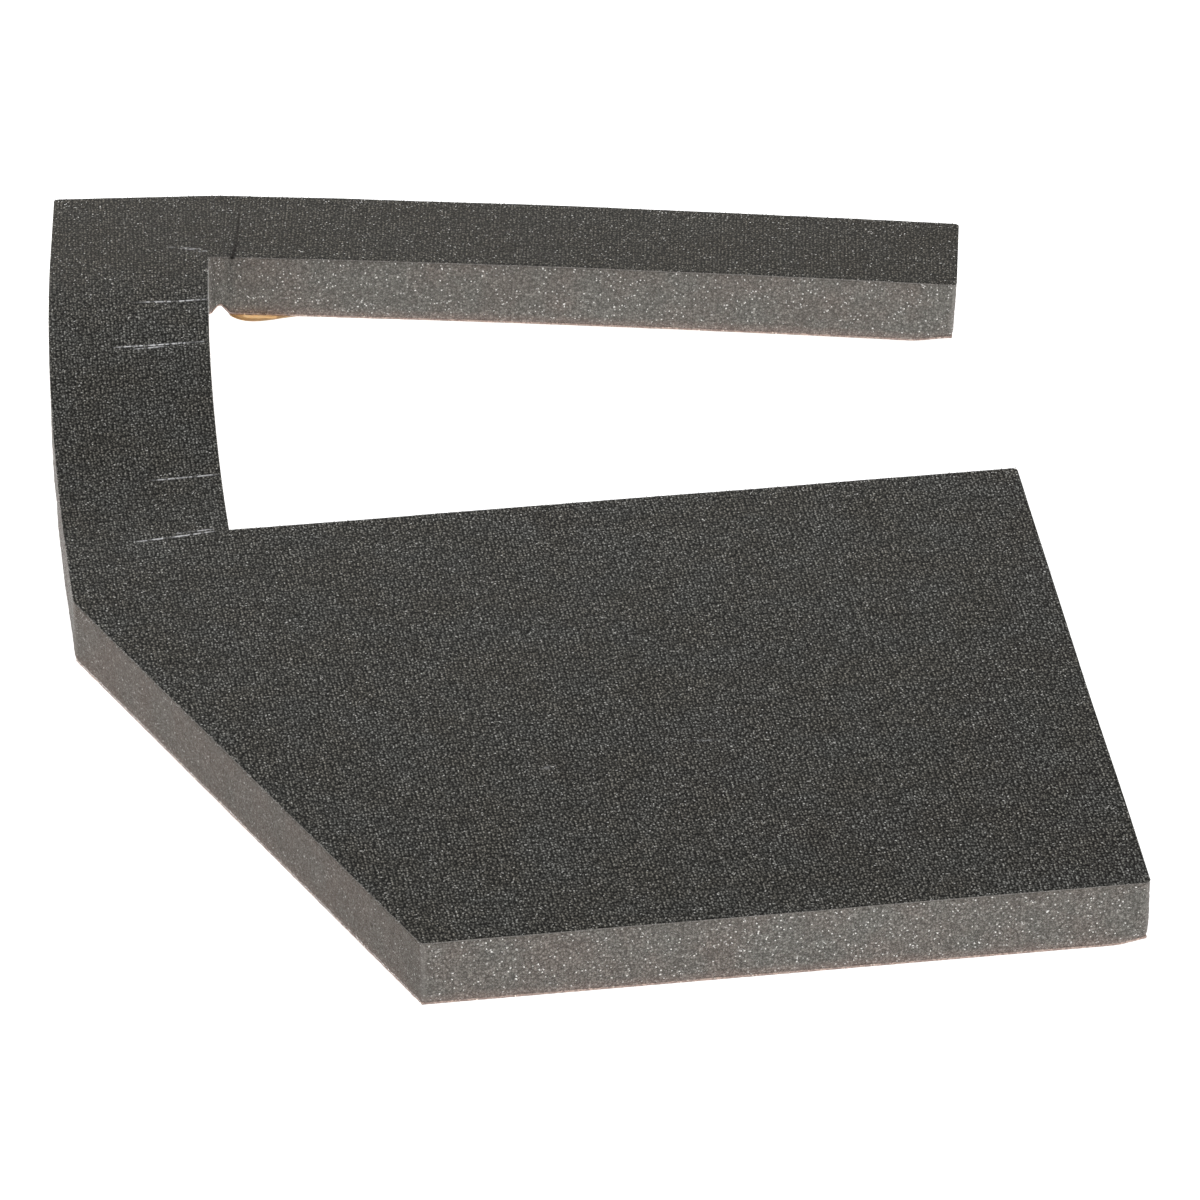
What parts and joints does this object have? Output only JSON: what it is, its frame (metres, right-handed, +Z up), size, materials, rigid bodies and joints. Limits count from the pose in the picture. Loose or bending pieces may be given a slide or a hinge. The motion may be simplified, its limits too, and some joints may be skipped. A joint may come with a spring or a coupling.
{
  "type": "self-adhesive foam back pad",
  "caption": "Die-cut C-shaped foam pad with a charcoal knit face and a peel-off liner under its adhesive, for padding a rider's back or seat.",
  "frame": {"origin": "on the ground under the middle of the pad's bounding box", "axes": "+Z up out of the fabric face, +Y from the wide panel to the arm, +X along the arm towards its free end"},
  "size_m": [0.243, 0.3468, 0.0248],
  "materials": {
    "charcoal_knit": "fine charcoal warp knit, matte, ribs from front to back about 1 mm apart",
    "open_cell_foam": "warm grey open-cell polyurethane foam with bare die-cut sides",
    "acrylic_adhesive": "clear straw-coloured transfer adhesive",
    "siliconised_liner": "amber siliconised release liner, slightly glossy"
  },
  "bodies": {
    "liner": {"release_liner": "siliconised_liner"},
    "pad": {"face_fabric": "charcoal_knit", "foam_core": "open_cell_foam", "adhesive_film": "acrylic_adhesive"}
  },
  "joints": [
    {"name": "pad_lift_off", "type": "slide", "parent": "liner", "child": "pad", "axis": [0, 0, 1], "range_m": [0, 0.05]}
  ]
}
